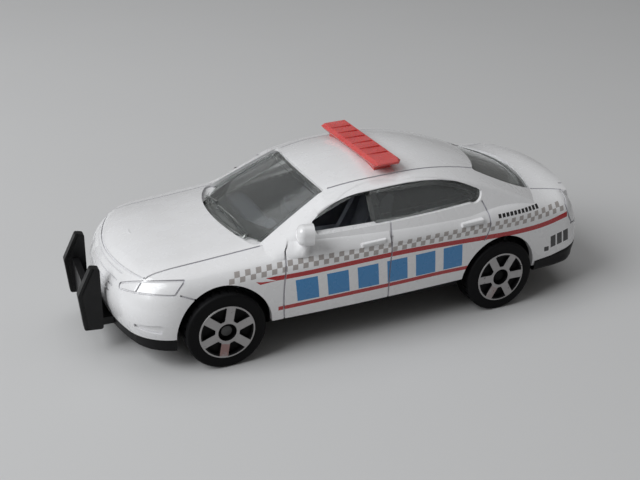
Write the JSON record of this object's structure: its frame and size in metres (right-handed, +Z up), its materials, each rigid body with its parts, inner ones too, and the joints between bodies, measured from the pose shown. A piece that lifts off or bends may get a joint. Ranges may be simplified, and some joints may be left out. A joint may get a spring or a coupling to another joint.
{
  "type": "toy patrol car",
  "caption": "Pocket-size die-cast toy saloon in patrol livery, with a roof light bar, a push bar and free-rolling wheels on wire axles.",
  "frame": {"origin": "on the ground, in the middle of the car's length and width", "axes": "+X forward, +Y to the car's left, +Z up"},
  "size_m": [0.0761, 0.0326, 0.0233],
  "materials": {
    "white_paint": "gloss",
    "clear_plastic": "gloss",
    "red_plastic": "gloss",
    "grey_plastic": "matt",
    "dark_plastic": "matt",
    "black_plastic": "satin",
    "steel_wire": "satin",
    "rivet_metal": "satin",
    "wheel_plastic": "satin"
  },
  "bodies": {
    "car": {"body_shell": "white_paint", "glazing": "clear_plastic", "light_bar": "red_plastic", "interior": "grey_plastic", "steering_wheel": "dark_plastic", "base": "black_plastic", "push_bar": "black_plastic", "front_axle": "steel_wire", "rear_axle": "steel_wire", "front_rivet": "rivet_metal", "rear_rivet": "rivet_metal"},
    "wheel_front_left": {"wheel_front_left": "wheel_plastic"},
    "wheel_front_right": {"wheel_front_right": "wheel_plastic"},
    "wheel_rear_left": {"wheel_rear_left": "wheel_plastic"},
    "wheel_rear_right": {"wheel_rear_right": "wheel_plastic"}
  },
  "joints": [
    {"name": "wheel_front_left_spin", "type": "hinge", "parent": "car", "child": "wheel_front_left", "pos_m": [0.021, 0, 0.00537], "axis": [0, 1, 0], "continuous": true},
    {"name": "wheel_front_right_spin", "type": "hinge", "parent": "car", "child": "wheel_front_right", "pos_m": [0.021, 0, 0.00537], "axis": [0, 1, 0], "continuous": true},
    {"name": "wheel_rear_left_spin", "type": "hinge", "parent": "car", "child": "wheel_rear_left", "pos_m": [-0.0206, 0, 0.00537], "axis": [0, 1, 0], "continuous": true},
    {"name": "wheel_rear_right_spin", "type": "hinge", "parent": "car", "child": "wheel_rear_right", "pos_m": [-0.0206, 0, 0.00537], "axis": [0, 1, 0], "continuous": true}
  ]
}
